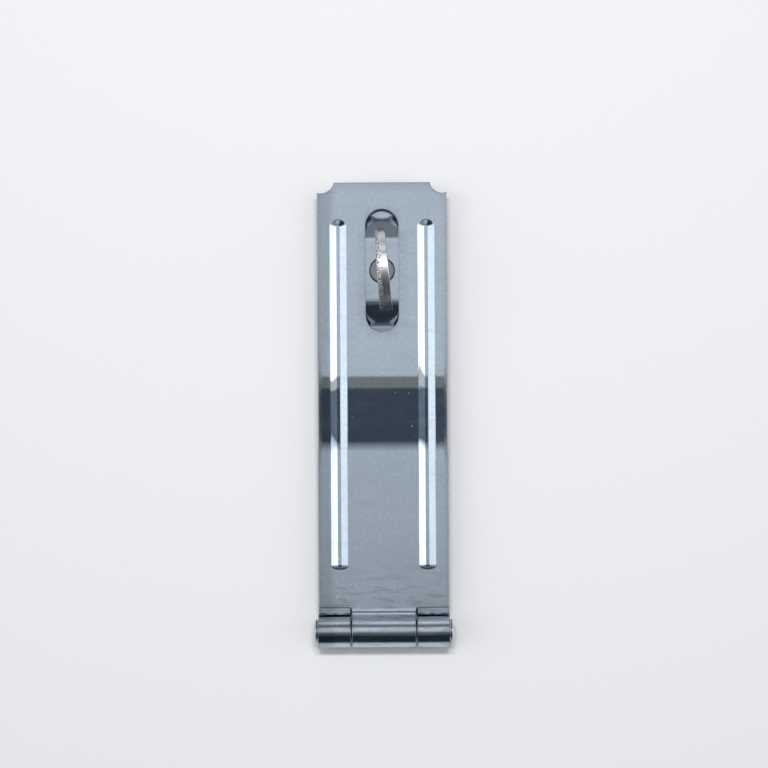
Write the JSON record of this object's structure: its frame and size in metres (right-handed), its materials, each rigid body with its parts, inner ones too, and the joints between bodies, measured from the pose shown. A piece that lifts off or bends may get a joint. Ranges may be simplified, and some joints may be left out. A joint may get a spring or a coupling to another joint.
{
  "type": "swivel safety hasp",
  "caption": "Zinc-plated hasp and staple: a ribbed hinged strap with a slot closes over a turning padlock eye on a raised plate and covers all of its own screws.",
  "frame": {"origin": "middle of the hinge leaf's four screws, on the leaf's back face, which lies on the mounting surface", "axes": "+Z points out of the mounting surface, +Y runs from the hinge to the staple, +X along the hinge pin"},
  "size_m": [0.046, 0.1524, 0.0438],
  "materials": {
    "zinc_sheet": "bright blue zinc plating on rolled sheet",
    "zinc_pin": "zinc plating, hammered ends",
    "zinc_eye": "zinc plating, rough sheared edges",
    "zinc_screw": "zinc plating"
  },
  "bodies": {
    "base": {"hinge_leaf": "zinc_sheet", "hinge_pin": "zinc_pin", "staple_plate": "zinc_sheet", "leaf_screw_1": "zinc_screw", "leaf_screw_2": "zinc_screw", "leaf_screw_3": "zinc_screw", "leaf_screw_4": "zinc_screw", "plate_screw_1": "zinc_screw", "plate_screw_2": "zinc_screw", "plate_screw_3": "zinc_screw", "plate_screw_4": "zinc_screw"},
    "hasp": {"strap": "zinc_sheet"},
    "staple": {"swivel_staple": "zinc_eye", "staple_washer": "zinc_pin"}
  },
  "joints": [
    {"name": "strap_hinge", "type": "hinge", "parent": "base", "child": "hasp", "pos_m": [0, -0.035, 0.0054], "axis": [1, 0, 0], "range_deg": [0, 180]},
    {"name": "staple_swivel", "type": "hinge", "parent": "base", "child": "staple", "pos_m": [0, 0.0831, 0], "axis": [0, 0, 1], "continuous": true}
  ]
}
